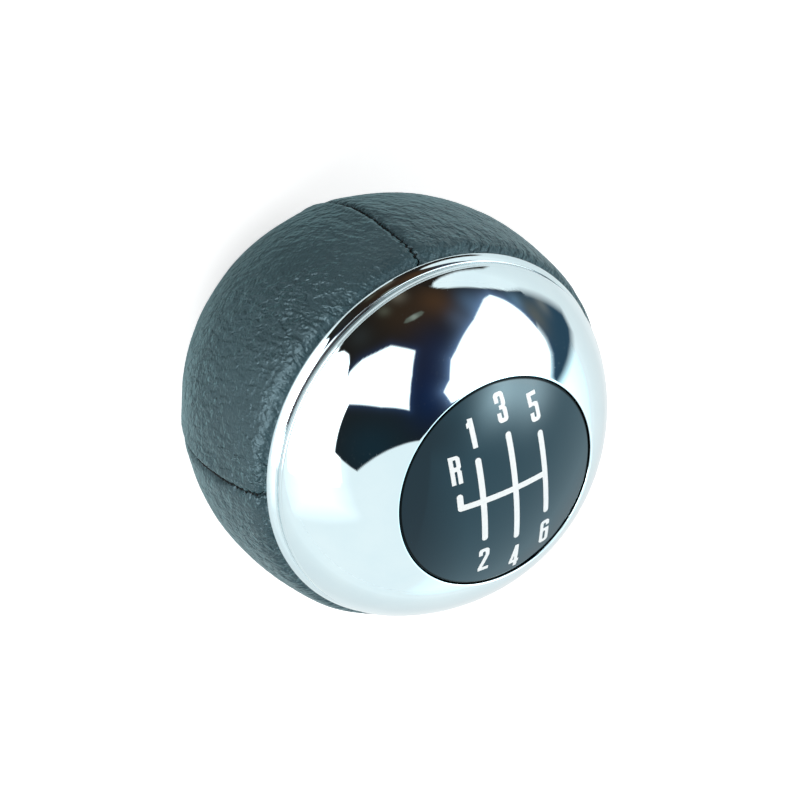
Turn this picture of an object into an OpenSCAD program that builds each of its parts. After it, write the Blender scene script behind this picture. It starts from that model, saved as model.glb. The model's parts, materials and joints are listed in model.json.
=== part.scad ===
// Gear shift knob: a leather-covered ball with a bright dome and a shift pattern disc.
// Z is the lever's axis and Z = 0 is the flat underside of the base collar.
// +Y is the front of the car, the side of first, third and fifth gear.
// Profiles are drawn as radius and height, then turned about Z.

/* [Ball] */
// Radius of the leather ball at its widest line
ball_r = 25; // [24:0.5:28]
// Radius of the straighter flank above the widest line
flank_r = 44; // [40:1:60]
// Slope at which the flank turns into the shoulder, in degrees
flank_angle = 10; // [9:0.5:11]
// Radius of the shoulder that rolls in under the cap
shoulder_r = 6.4; // [6:0.1:7]
// Slope at which the shoulder meets the cap, in degrees
shoulder_angle = 39; // [37:0.5:41]

/* [Leather] */
// Thickness of the leather
leather_t = 1.2; // [1:0.1:1.4]
// Width of the open seam between two panels
seam_gap = 0.7; // [0.6:0.05:0.9]
// Width of the thinned edge on each side of a seam
seam_edge_w = 0.4; // [0.2:0.05:0.6]
// How much thinner the leather is along that edge
seam_edge_t = 0.4; // [0.2:0.05:0.6]
// Width and thickness of the sewing thread in a seam
thread_w = 0.5; // [0.4:0.02:0.56]
// Width of the hem folded in under the cap
top_hem_w = 2.3; // [2:0.1:2.6]
// Width of the hem folded in over the base collar
foot_hem_w = 2.7; // [2.4:0.1:3]

/* [Cap] */
// Radius of the bead round the cap's edge
bead_r = 0.8; // [0.7:0.05:0.9]
// Direction from the leather's edge to the bead's centre, in degrees
bead_angle = 148; // [144:1:152]
// Height of the dome's edge above the bead's centre
dome_step = 1.53; // [1.45:0.01:1.6]
// Height of the dome's centre above the ball's centre
dome_lift = 1.4; // [1.2:0.1:1.6]
// Radius of the groove between the bead and the dome
groove_r = 0.5; // [0.45:0.01:0.55]
// Slope from the dome's edge down to the groove's centre, in degrees
groove_angle = 57; // [52:1:62]
// Radius of the rounding on the dome's edge
dome_edge_r = 0.25; // [0.15:0.01:0.3]
// Wall of the dome
cap_t = 2; // [1.8:0.1:2.4]
// Thickness of the web under the pattern disc
web_t = 1.8; // [1.6:0.1:2.4]
// Radius of the rounding on the lip round the disc
lip_r = 0.3; // [0.2:0.05:0.4]
// Wall of the cap's inner post
post_t = 1.6; // [1.4:0.1:2]

/* [Snap hooks] */
// Number of hooks on the cap
hook_count = 3; // [3]
// Width of a hook
hook_w = 6; // [5:0.25:7]
// Thickness of a hook's leg
hook_t = 1.4; // [1.2:0.1:1.5]
// How far a barb stands out
barb = 0.8; // [0.6:0.05:0.9]
// Length of a barb
barb_l = 2.2; // [1.8:0.1:2.6]

/* [Pattern disc] */
// Radius of the disc
disc_r = 12.95; // [12:0.05:13.2]
// Thickness of the disc
disc_t = 1.2; // [1:0.1:1.5]
// Radius of curvature of the disc's face
disc_curve_r = 35.5; // [34:0.5:40]
// How far the disc's edge lies below the dome
disc_sink = 0.33; // [0.3:0.01:0.4]
// Radius of the rounding on the disc's edge
disc_edge_r = 0.3; // [0.2:0.01:0.35]
// Thickness of the adhesive pad
pad_t = 0.2; // [0.15:0.01:0.3]
// Distance from the pad's edge to the disc's edge
pad_inset = 0.8; // [0.5:0.1:1.5]

/* [Shift gate] */
// Width of a printed line
line_w = 0.75; // [0.6:0.05:0.9]
// Depth of the paint in the disc
paint_t = 0.12; // [0.1:0.01:0.15]
// Distance between two gear lines
gate_pitch = 4.28; // [4:0.02:4.5]
// Place of the middle line, left or right of the axis
gate_x = 1.04; // [0.8:0.02:1.2]
// Place of the cross line, front or back of the axis
gate_y = -0.11; // [-0.3:0.01:0.3]
// Half length of the outer gear lines, to the centre of their ends
outer_half = 5.2; // [4.8:0.02:5.4]
// Half length of the middle gear line, to the centre of its ends
middle_half = 6.82; // [6.2:0.01:6.9]
// Distance from the middle line to the reverse hook
reverse_reach = 7.06; // [6.6:0.02:7.4]
// Length of the reverse hook
reverse_rise = 1.49; // [1.2:0.01:1.8]

/* [Inner shells] */
// Wall of the two inner shells
shell_t = 2.2; // [2:0.1:2.4]
// Height of the lap that joins the two shells
lap_h = 1.6; // [1.2:0.1:2]
// Underside of the top plate above the ball's centre
plate_z = 7.4; // [7:0.1:7.6]
// Thickness of the top plate
plate_t = 2.2; // [2:0.1:2.4]
// Wall of the ring that centres the cap
spigot_t = 1.1; // [1:0.05:1.3]
// How far that ring reaches into the cap
spigot_reach = 1; // [0.6:0.1:1.5]
// Thickness of the ribs
rib_t = 1.4; // [1.2:0.1:1.8]
// Number of ribs
rib_count = 6; // [6]
// Top of the ribs below the ball's centre
rib_drop = 3; // [2:0.5:6]

/* [Screws] */
// Number of screws
screw_count = 3; // [3]
// Distance from a screw's hole to the socket tube
screw_edge = 0.3; // [0.2:0.1:0.8]
// Radius of a screw's shank
screw_r = 1.5; // [1.25:0.05:1.6]
// Length of a screw's shank
screw_l = 10; // [8:0.5:12]
// Radius of a screw's head
head_r = 2.4; // [2.2:0.05:2.6]
// Height of a screw's head
head_h = 1.8; // [1.5:0.1:2.2]
// Radius of a screw boss
boss_r = 3; // [2.8:0.1:3.1]

/* [Lever socket] */
// Radius of the lever that the knob goes on
lever_r = 6; // [5:0.1:6.5]
// Wall of the bush's thick lower part
bush_wall = 2.6; // [2.4:0.1:3]
// Wall of the bush's spring fingers
finger_wall = 2; // [1.8:0.1:2.1]
// Length of the bush's thinner upper part, with the fingers
finger_l = 12.5; // [11.5:0.5:14]
// Width of the slots between the fingers
slot_w = 1.2; // [1:0.1:1.5]
// Length of the slots between the fingers
slot_l = 11; // [9:0.5:12]
// Number of fingers
finger_count = 4; // [4]
// Width of the flange that holds the bush in
flange_w = 1.1; // [0.8:0.1:1.2]
// Thickness of that flange
flange_t = 1.8; // [1.5:0.1:2.2]
// Width and height of the sloped edge at the bush's mouth
mouth_slope = 0.8; // [0.5:0.1:1.2]
// How far the bush's mouth lies inside the collar
mouth_inset = 0.4; // [0.2:0.1:0.8]
// Thickness of the ring spring
spring_t = 0.7; // [0.5:0.05:0.8]
// Height of the ring spring
spring_h = 4; // [3:0.5:5]
// Depth of the spring's seat in the fingers
spring_seat = 0.35; // [0.2:0.05:0.4]
// Opening of the ring spring, in degrees
spring_open = 50; // [30:5:80]
// Thickness of the rubber stop pad
stop_t = 2; // [1.5:0.1:2.2]
// Thickness of the socket's roof
roof_t = 2.65; // [2:0.05:3]
// Wall of the socket tube
tube_t = 2; // [1.8:0.1:2.1]

/* [Base collar] */
// Height of the collar's outer edge
collar_h = 1.96; // [1.6:0.02:2.4]
// Height of the sleeve inside the tube
sleeve_h = 4.5; // [4:0.1:5]
// Radius of the rounding on the collar's edge
collar_round = 1.4; // [1:0.1:1.5]

/* [Fits] */
// Clearance between pieces that only touch
fit = 0.05; // [0.03:0.01:0.08]
// Clearance between pieces that slide together
slide = 0.1; // [0.08:0.01:0.15]

/* [Hidden] */
$fn = 120;
far = 4 * ball_r;
small_fn = 32;
// Turn by which two arcs of one outline overlap, so that they join into one piece
weld = 0.01;

black_leather = [0.13, 0.15, 0.16];
black_thread = [0.04, 0.045, 0.05];
bright_chrome = [0.86, 0.9, 0.92];
gloss_black = [0.05, 0.07, 0.08];
print_white = [0.96, 0.97, 0.97];
moulded_black = [0.09, 0.09, 0.1];
natural_nylon = [0.86, 0.85, 0.8];
spring_steel = [0.55, 0.56, 0.58];
rubber_black = [0.06, 0.06, 0.06];
tape_grey = [0.7, 0.7, 0.68];
zinc_grey = [0.66, 0.67, 0.68];

function unit(angle) = [cos(angle), sin(angle)];
function polar_height(radius, across) = sqrt(radius * radius - across * across);

// Point at given distances from two points, on the left of the way from the first to the second
function meet(p, p_dist, q, q_dist) =
    let (gap = norm(q - p), along = (q - p) / gap)
    let (a = (gap * gap + p_dist * p_dist - q_dist * q_dist) / (2 * gap))
    p + a * along + polar_height(p_dist, a) * [-along.y, along.x];

// Socket: the tube holds the bush, and the leather's lower hem lies round the tube
bush_r = lever_r + bush_wall;
finger_r = lever_r + finger_wall;
flange_r = bush_r + flange_w;
socket_r = bush_r + slide;
tube_r = socket_r + tube_t;
counterbore_r = flange_r + slide;
foot_hem_r = tube_r + slide;
foot_r = foot_hem_r + foot_hem_w;

// Outline of the ball: a round lower half, a straighter flank and a round shoulder, all tangent
ball_z = collar_h + polar_height(ball_r, foot_r);
ball_c = [0, ball_z];
flank_c = [ball_r - flank_r, ball_z];
shoulder_c = flank_c + (flank_r - shoulder_r) * unit(flank_angle);
rim = shoulder_c + shoulder_r * unit(shoulder_angle);
foot_angle = -acos(foot_r / ball_r);
foot_z = collar_h;
top_hem_r = rim.x - top_hem_w;

// Cap: the bead sits in the leather's edge and the dome starts above the bead
bead_c = rim + bead_r * unit(bead_angle);
cap_foot_z = bead_c.y - bead_r;
dome_c = [0, ball_z + dome_lift];
dome_edge = bead_c + [0, dome_step];
dome_r = norm(dome_edge - dome_c);
groove_c = dome_edge + groove_r * unit(-groove_angle);
edge_c = meet(groove_c, groove_r + dome_edge_r, dome_c, dome_r - dome_edge_r);
edge_up = (edge_c - dome_c) / norm(edge_c - dome_c);
edge_down = (groove_c - edge_c) / norm(groove_c - edge_c);
hem_z = cap_foot_z - fit - leather_t;
spigot_r = top_hem_r - slide;
cap_bore_r = top_hem_r;

// Disc: its edge lies a little below the dome, in a recess with a rounded lip
recess_r = disc_r + fit;
disc_edge_z = dome_c.y + polar_height(dome_r, recess_r) - disc_sink;
disc_c = [0, disc_edge_z - polar_height(disc_curve_r, disc_r)];
disc_edge_c = [disc_r - disc_edge_r, disc_c.y + polar_height(disc_curve_r - disc_edge_r, disc_r - disc_edge_r)];
floor_r = disc_curve_r - disc_t - pad_t;
lip_c = [recess_r + lip_r, dome_c.y + polar_height(dome_r - lip_r, recess_r + lip_r)];

// Shells: the top plate carries the cap, and three bosses carry the screws
plate_bottom_z = ball_z + plate_z;
plate_top_z = plate_bottom_z + plate_t;
shell_foot_z = foot_z + leather_t;
first_screw = 30;
first_hook = 90;
screw_hole_r = screw_r + 2 * slide;
screw_at = tube_r + slide + screw_edge + screw_hole_r;
pilot_r = screw_r + fit / 2;
hook_at = spigot_r - spigot_t - barb - 3 * slide;
post_r = screw_at - head_r - 2 * slide;
post_foot_z = plate_top_z;

// Heights in the socket: the collar's sleeve traps the bush's flange, and the roof stops the lever
sleeve_top_z = foot_z + sleeve_h;
flange_z = sleeve_top_z + fit;
shoulder_z = flange_z + flange_t + fit;
roof_z = plate_top_z - roof_t;
bush_top_z = roof_z - stop_t - fit;
lever_depth = bush_top_z - mouth_inset;
spring_z = bush_top_z - finger_l / 2;

// Ring sector with its centre at c, from one slope to another
module strip(c, outer, t, from, to) {
    translate(c) intersection() {
        difference() {
            circle(r = outer);
            circle(r = outer - t);
        }
        polygon([[0, 0], far * unit(from), far * unit((from + to) / 2), far * unit(to)]);
    }
}

// Layer of the ball's wall that lies a given depth under the surface
module ball_layer(depth, t, from, to) {
    if (from < 0) strip(ball_c, ball_r - depth, t, from, weld);
    strip(flank_c, flank_r - depth, t, 0, flank_angle + weld);
    strip(shoulder_c, shoulder_r - depth, t, flank_angle, to);
}

// Plate that stands on a radius, made from a profile of radius and height
module radial_plate(angle, t) {
    rotate([90, 0, angle]) translate([0, 0, -t / 2]) linear_extrude(t) children();
}

module around(count, first) {
    for (i = [0 : count - 1]) rotate([0, 0, first + i * 360 / count]) children();
}

// Leather cover

module cover_section() {
    difference() {
        union() {
            ball_layer(0, leather_t, foot_angle, shoulder_angle);
            translate([top_hem_r, hem_z]) square([rim.x - leather_t / 4 - top_hem_r, leather_t]);
            translate([foot_hem_r, foot_z]) square([foot_r - foot_hem_r, leather_t]);
        }
        translate(bead_c) circle(r = bead_r + fit);
    }
}

// Straight gap through the leather, with a thinned edge on each side of it
module seam_cut() {
    translate([0, -seam_gap / 2, 0]) cube([far, seam_gap, far]);
    radial_plate(0, seam_gap + 2 * seam_edge_w)
        ball_layer(-seam_edge_t, 2 * seam_edge_t, foot_angle, shoulder_angle);
}

module leather_panel(turn) {
    color(black_leather) rotate([0, 0, turn]) difference() {
        rotate_extrude(angle = 90) cover_section();
        seam_cut();
        rotate([0, 0, 90]) seam_cut();
    }
}

module leather_front_right() leather_panel(0);
module leather_front_left() leather_panel(90);
module leather_rear_left() leather_panel(180);
module leather_rear_right() leather_panel(270);

// Thread that lies on the inner shell at the bottom of a seam
module seam_thread(turn) {
    end_slope = 4;
    color(black_thread) radial_plate(turn, thread_w)
        ball_layer(leather_t - thread_w - fit, thread_w, foot_angle + end_slope, shoulder_angle - end_slope);
}

module seam_thread_right() seam_thread(0);
module seam_thread_front() seam_thread(90);
module seam_thread_left() seam_thread(180);
module seam_thread_rear() seam_thread(270);

// Cap

module cap_outline() {
    difference() {
        union() {
            intersection() {
                translate(dome_c) circle(r = dome_r);
                translate([0, dome_edge.y]) square([far, far]);
            }
            translate([0, cap_foot_z]) square([dome_edge.x, dome_edge.y - cap_foot_z]);
            translate(bead_c) circle(r = bead_r);
        }
        translate(groove_c) circle(r = groove_r);
        // Rounding where the groove runs out into the dome
        difference() {
            polygon([edge_c, edge_c + edge_up, edge_c + edge_up + edge_down, edge_c + edge_down]);
            translate(edge_c) circle(r = dome_edge_r);
        }
    }
}

// Recess for the disc, with its floor along the disc and a rounded lip
module recess_outline() {
    lip_normal = (lip_c - dome_c) / norm(lip_c - dome_c);
    difference() {
        union() {
            translate([0, disc_c.y]) square([recess_r, far]);
            translate([0, lip_c.y]) square([lip_c.x, far]);
            polygon([lip_c, lip_c + [0, far], lip_c + far * lip_normal]);
        }
        translate(lip_c) circle(r = lip_r);
        translate(disc_c) circle(r = floor_r);
    }
}

module cap_hollow() {
    intersection() {
        translate(dome_c) circle(r = dome_r - cap_t);
        translate(disc_c) circle(r = floor_r - web_t);
        translate([0, cap_foot_z - far]) square([cap_bore_r, 2 * far]);
    }
}

module hook() {
    catch_z = plate_bottom_z - fit;
    wall_mid_r = dome_r - cap_t / 2;
    outer_top_z = dome_c.y + polar_height(wall_mid_r, hook_at);
    inner_top_z = dome_c.y + polar_height(wall_mid_r, hook_at - hook_t);
    radial_plate(0, hook_w) polygon([
        [hook_at - hook_t, inner_top_z], [hook_at, outer_top_z], [hook_at, catch_z],
        [hook_at + barb, catch_z], [hook_at, catch_z - barb_l], [hook_at - hook_t, catch_z - barb_l]]);
}

module chrome_cap() {
    color(bright_chrome) {
        rotate_extrude() difference() {
            cap_outline();
            recess_outline();
            difference() {
                cap_hollow();
                translate([post_r - post_t, post_foot_z]) square([post_t, far]);
            }
        }
        around(hook_count, first_hook) hook();
    }
}

// Pattern disc

// Printed line between two points on one row or one column, with round ends
module stroke(p, q) {
    low = [min(p.x, q.x), min(p.y, q.y)];
    span = [abs(p.x - q.x), abs(p.y - q.y)];
    across = span.x > span.y ? [0, line_w] : [line_w, 0];
    translate(low - across / 2) square(span + across);
    translate(p) circle(r = line_w / 2, $fn = small_fn);
    translate(q) circle(r = line_w / 2, $fn = small_fn);
}

module gate_lines() {
    reverse_x = gate_x - reverse_reach;
    for (side = [-1, 0, 1]) {
        x = gate_x + side * gate_pitch;
        half = side == 0 ? middle_half : outer_half;
        stroke([x, gate_y - half], [x, gate_y + half]);
    }
    stroke([reverse_x, gate_y], [gate_x + gate_pitch, gate_y]);
    stroke([reverse_x, gate_y], [reverse_x, gate_y + reverse_rise]);
}

module paint_layer() {
    intersection() {
        translate([0, 0, disc_c.y + disc_curve_r / 2]) linear_extrude(disc_curve_r) gate_lines();
        translate([0, 0, disc_c.y]) difference() {
            sphere(r = disc_curve_r);
            sphere(r = disc_curve_r - paint_t);
        }
    }
}

module disc_section() {
    edge_way = disc_edge_c - disc_c;
    difference() {
        union() {
            translate(disc_c) intersection() {
                circle(r = disc_curve_r);
                polygon([[0, 0], [0, far], far * edge_way]);
            }
            translate(disc_edge_c) circle(r = disc_edge_r, $fn = small_fn);
            translate([0, disc_c.y]) square([disc_r, disc_edge_c.y - disc_c.y]);
        }
        translate(disc_c) circle(r = disc_curve_r - disc_t);
    }
}

module pattern_disc() {
    color(gloss_black) difference() {
        rotate_extrude() disc_section();
        paint_layer();
    }
}

module shift_gate() {
    color(print_white) paint_layer();
}

module disc_adhesive() {
    color(tape_grey) rotate_extrude() intersection() {
        translate(disc_c) difference() {
            circle(r = floor_r + pad_t);
            circle(r = floor_r);
        }
        translate([0, disc_c.y]) square([disc_r - pad_inset, far]);
    }
}

// Inner shells

// Turned part of the upper shell: wall, top plate and the ring that centres the cap
module upper_section() {
    lap_r = ball_r - leather_t - shell_t / 2;
    difference() {
        union() {
            ball_layer(leather_t, shell_t, 0, shoulder_angle);
            translate([spigot_r - spigot_t, plate_bottom_z])
                square([ball_r - leather_t - shell_t - spigot_r + spigot_t, hem_z - plate_bottom_z]);
            translate([tube_r + slide, plate_bottom_z]) square([spigot_r - tube_r - slide, plate_t]);
            translate([spigot_r - spigot_t, plate_bottom_z])
                square([spigot_t, cap_foot_z + spigot_reach - plate_bottom_z]);
        }
        translate([spigot_r, hem_z]) square([far, far]);
        translate([0, ball_z]) square([lap_r + slide / 2, lap_h + slide]);
        translate([0, ball_z - far]) square([far, far]);
    }
}

module upper_shell() {
    color(moulded_black) difference() {
        rotate_extrude() upper_section();
        around(screw_count, first_screw) translate([screw_at, 0, plate_bottom_z - plate_t])
            cylinder(r = screw_hole_r, h = 3 * plate_t, $fn = small_fn);
        around(hook_count, first_hook)
            translate([hook_at - hook_t - slide, -hook_w / 2 - slide, plate_bottom_z - plate_t])
                cube([hook_t + barb + 2 * slide, hook_w + 2 * slide, 3 * plate_t]);
    }
}

// Turned part of the lower shell: bowl, floor, lap and the closed socket tube
module lower_section() {
    lap_r = ball_r - leather_t - shell_t / 2;
    difference() {
        union() {
            intersection() {
                strip(ball_c, ball_r - leather_t, shell_t, foot_angle - flank_angle, 0);
                translate([0, shell_foot_z]) square([far, far]);
            }
            translate([socket_r, shell_foot_z]) square([foot_r - leather_t / 2 - socket_r, shell_t]);
            translate([ball_r - leather_t - shell_t, ball_z - lap_h])
                square([lap_r - slide / 2 - ball_r + leather_t + shell_t, 2 * lap_h]);
            translate([0, foot_z]) square([tube_r, plate_top_z - foot_z]);
        }
        translate([0, foot_z - far]) square([socket_r, roof_z - foot_z + far]);
        translate([0, foot_z - far]) square([counterbore_r, shoulder_z - foot_z + far]);
    }
}

module rib(angle) {
    radial_plate(angle, rib_t) intersection() {
        translate(ball_c) circle(r = ball_r - leather_t - shell_t / 2);
        translate([tube_r - tube_t / 2, shell_foot_z + shell_t / 2])
            square([far, ball_z - rib_drop - shell_foot_z - shell_t / 2]);
    }
}

module screw_boss() {
    intersection() {
        translate([screw_at, 0, shell_foot_z + shell_t / 2])
            cylinder(r = boss_r, h = plate_bottom_z - shell_foot_z - shell_t / 2, $fn = small_fn);
        translate([0, 0, ball_z]) sphere(r = ball_r - leather_t - shell_t / 2);
    }
}

module lower_shell() {
    color(moulded_black) difference() {
        union() {
            rotate_extrude() lower_section();
            for (i = [0 : rib_count - 1]) rib(i * 360 / rib_count);
            around(screw_count, first_screw) screw_boss();
        }
        around(screw_count, first_screw) translate([screw_at, 0, plate_top_z - screw_l - 1])
            cylinder(r = pilot_r, h = screw_l, $fn = small_fn);
        translate([0, 0, shoulder_z]) cylinder(r = socket_r, h = roof_z - shoulder_z);
    }
}

// Screw with a domed head, a cross recess and a plain shank
module screw() {
    slot = head_r / 4;
    difference() {
        rotate_extrude($fn = small_fn) {
            intersection() {
                translate([0, head_h - 2 * head_r]) circle(r = 2 * head_r, $fn = 2 * small_fn);
                square([head_r, head_h]);
            }
            translate([0, -screw_l + screw_r]) square([screw_r, screw_l - screw_r]);
            polygon([[0, -screw_l], [screw_r, screw_r - screw_l], [0, screw_r - screw_l]]);
        }
        for (turn = [0, 90]) rotate([0, 0, turn])
            translate([-head_r / 2, -slot / 2, head_h / 2]) cube([head_r, slot, head_h]);
    }
}

module shell_screws() {
    color(zinc_grey) around(screw_count, first_screw) translate([screw_at, 0, plate_top_z]) screw();
}

// Lever socket

module bush_section() {
    difference() {
        union() {
            translate([lever_r, mouth_inset]) square([bush_r - lever_r, lever_depth - finger_l]);
            translate([lever_r, mouth_inset]) square([finger_r - lever_r, lever_depth]);
            translate([lever_r, flange_z]) square([flange_r - lever_r, flange_t]);
        }
        polygon([[0, mouth_inset - mouth_slope], [lever_r + 2 * mouth_slope, mouth_inset - mouth_slope],
            [lever_r, mouth_inset + mouth_slope], [0, mouth_inset + mouth_slope]]);
        translate([finger_r - spring_seat, spring_z - spring_h / 2 - fit])
            square([spring_seat * 2, spring_h + 2 * fit]);
    }
}

module lever_bush() {
    color(natural_nylon) difference() {
        rotate_extrude() bush_section();
        around(finger_count, 45) translate([0, -slot_w / 2, bush_top_z - slot_l])
            cube([far, slot_w, slot_l + lever_depth]);
    }
}

module bush_spring() {
    color(spring_steel) rotate([0, 0, spring_open / 2]) rotate_extrude(angle = 360 - spring_open)
        translate([finger_r - spring_seat, spring_z - spring_h / 2]) square([spring_t, spring_h]);
}

module lever_stop_pad() {
    color(rubber_black) translate([0, 0, bush_top_z + fit])
        cylinder(r = bush_r, h = stop_t);
}

// Collar that covers the leather's lower hem and holds the bush
module base_collar() {
    bore_r = bush_r + slide;
    rim_c = [foot_r - collar_round, collar_round];
    color(moulded_black) rotate_extrude() difference() {
        union() {
            translate([bore_r, 0]) square([rim_c.x - bore_r, foot_z]);
            translate([rim_c.x - collar_round, collar_round]) square([2 * collar_round, foot_z - collar_round]);
            translate(rim_c) circle(r = collar_round, $fn = 2 * small_fn);
            translate([bore_r, 0]) square([counterbore_r - fit - bore_r, sleeve_top_z]);
        }
        translate([counterbore_r - fit, foot_z]) square([far, far]);
    }
}

pattern_disc();
shift_gate();
disc_adhesive();
chrome_cap();
upper_shell();
lower_shell();
shell_screws();
leather_front_right();
leather_front_left();
leather_rear_left();
leather_rear_right();
seam_thread_right();
seam_thread_front();
seam_thread_left();
seam_thread_rear();
lever_bush();
bush_spring();
lever_stop_pad();
base_collar();
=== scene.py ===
import json
import math

import bmesh
import bpy
import numpy as np
from mathutils import Matrix, Vector, noise


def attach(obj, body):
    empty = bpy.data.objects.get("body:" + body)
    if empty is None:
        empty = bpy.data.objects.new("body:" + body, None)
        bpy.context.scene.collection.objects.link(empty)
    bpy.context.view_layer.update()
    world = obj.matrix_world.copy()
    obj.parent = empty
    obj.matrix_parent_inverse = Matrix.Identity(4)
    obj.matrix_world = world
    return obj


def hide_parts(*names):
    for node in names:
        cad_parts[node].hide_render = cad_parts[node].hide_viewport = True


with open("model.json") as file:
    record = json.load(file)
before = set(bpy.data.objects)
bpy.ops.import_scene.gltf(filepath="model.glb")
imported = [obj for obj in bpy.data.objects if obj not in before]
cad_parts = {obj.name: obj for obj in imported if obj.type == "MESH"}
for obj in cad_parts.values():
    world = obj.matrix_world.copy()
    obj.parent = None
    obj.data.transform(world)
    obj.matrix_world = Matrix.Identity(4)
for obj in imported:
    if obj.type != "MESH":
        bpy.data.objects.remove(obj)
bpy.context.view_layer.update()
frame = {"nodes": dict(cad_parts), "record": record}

MM = 0.001
TAU = 2 * math.pi
ON_AXIS = 1e-6  # a smaller radius counts as on the axis

# ---------------------------------------------------------------- sizes, in mm
BALL_R = 25.0
FOOT_R = 13.5
COLLAR_H = 1.96
FLANK_R = 44.0
FLANK_ANGLE = 10.0
SHOULDER_R = 6.4
SHOULDER_ANGLE = 39.0
LEATHER_T = 1.2
TOP_HEM_W = 2.3
FOOT_HEM_R = 10.8
BEAD_R = 0.8
BEAD_ANGLE = 148.0
DOME_STEP = 1.53
DOME_LIFT = 1.4
BAND_R = 5.5
BAND_FROM = 25.0
BAND_TO = 36.0
BAND_LINE_R = 0.168
BAND_LINE = (22.52, 34.63)
EDGE_LINE = 0.055
CAP_T = 2.0
WEB_T = 1.8
LIP_R = 0.14
POST_R = 10.2
POST_T = 1.6
POST_UP = 1.3  # from the middle of the leather's hem to the post's foot
TURN_IN_R = 0.22
DISC_R = 12.95
DISC_T = 1.2
DISC_CURVE_R = 35.5
DISC_SINK = 0.33
DISC_EDGE_R = 0.36
PAD_T = 0.2
FIT = 0.05


def unit(angle):
    return np.array([math.cos(math.radians(angle)), math.sin(math.radians(angle))])


def angle_of(v):
    return math.degrees(math.atan2(v[1], v[0]))


def meet(p, p_dist, q, q_dist):
    """Point at given distances from p and q, on the left of the way from p to q."""
    gap = np.linalg.norm(q - p)
    along = (q - p) / gap
    a = (gap * gap + p_dist * p_dist - q_dist * q_dist) / (2 * gap)
    return p + a * along + math.sqrt(p_dist**2 - a**2) * np.array([-along[1], along[0]])


BALL_Z = COLLAR_H + math.sqrt(BALL_R**2 - FOOT_R**2)
ball_c = np.array([0, BALL_Z])
flank_c = ball_c + [BALL_R - FLANK_R, 0]
shoulder_c = flank_c + (FLANK_R - SHOULDER_R) * unit(FLANK_ANGLE)
rim = shoulder_c + SHOULDER_R * unit(SHOULDER_ANGLE)
foot_angle = -math.degrees(math.acos(FOOT_R / BALL_R))
top_hem_r = rim[0] - TOP_HEM_W
bead_c = rim + BEAD_R * unit(BEAD_ANGLE)
cap_foot_z = bead_c[1] - BEAD_R
hem_z = cap_foot_z - FIT - LEATHER_T
dome_c = ball_c + [0, DOME_LIFT]
dome_edge = bead_c + [0, DOME_STEP]
dome_r = np.linalg.norm(dome_edge - dome_c)
line_c = np.array(BAND_LINE)
recess_r = DISC_R + FIT
disc_edge_z = dome_c[1] + math.sqrt(dome_r**2 - recess_r**2) - DISC_SINK
disc_c = np.array([0, disc_edge_z - math.sqrt(DISC_CURVE_R**2 - DISC_R**2)])
disc_edge_c = np.array(
    [
        DISC_R - DISC_EDGE_R,
        disc_c[1] + math.sqrt((DISC_CURVE_R - DISC_EDGE_R) ** 2 - (DISC_R - DISC_EDGE_R) ** 2),
    ]
)
floor_r = DISC_CURVE_R - DISC_T - PAD_T
lip_c = np.array([recess_r + LIP_R, dome_c[1] + math.sqrt((dome_r - LIP_R) ** 2 - (recess_r + LIP_R) ** 2)])


def arc(c, r, start, end, count):
    """Points on a circle from one direction to another, in degrees."""
    return [c + r * unit(start + (end - start) * i / count) for i in range(count + 1)]


def link(obj):
    bpy.context.scene.collection.objects.link(obj)
    return obj


def mesh_object(name, verts, faces):
    mesh = bpy.data.meshes.new(name)
    mesh.from_pydata([tuple(v) for v in verts], [], [tuple(f) for f in faces])
    mesh.validate()
    mesh.update()
    mesh.polygons.foreach_set("use_smooth", [True] * len(mesh.polygons))
    return link(bpy.data.objects.new(name, mesh))


def turned(name, profile, segments):
    """Turns a profile of (radius, height) about Z. Points on the axis become one vertex."""
    profile = [np.asarray(p, float) for p in profile]
    verts, rings = [], []
    for r, z in profile:
        if r < ON_AXIS:
            rings.append([len(verts)] * segments)
            verts.append((0, 0, z * MM))
            continue
        ring = []
        for i in range(segments):
            a = TAU * i / segments
            ring.append(len(verts))
            verts.append((r * math.cos(a) * MM, r * math.sin(a) * MM, z * MM))
        rings.append(ring)
    faces = []
    pairs = list(zip(rings, rings[1:]))
    if profile[0][0] > ON_AXIS:
        pairs.append((rings[-1], rings[0]))
    for low, high in pairs:
        for i in range(segments):
            j = (i + 1) % segments
            face = []
            for v in (low[i], low[j], high[j], high[i]):
                if v not in face:
                    face.append(v)
            if len(face) > 2:
                faces.append(face)
    return mesh_object(name, verts, faces)


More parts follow.
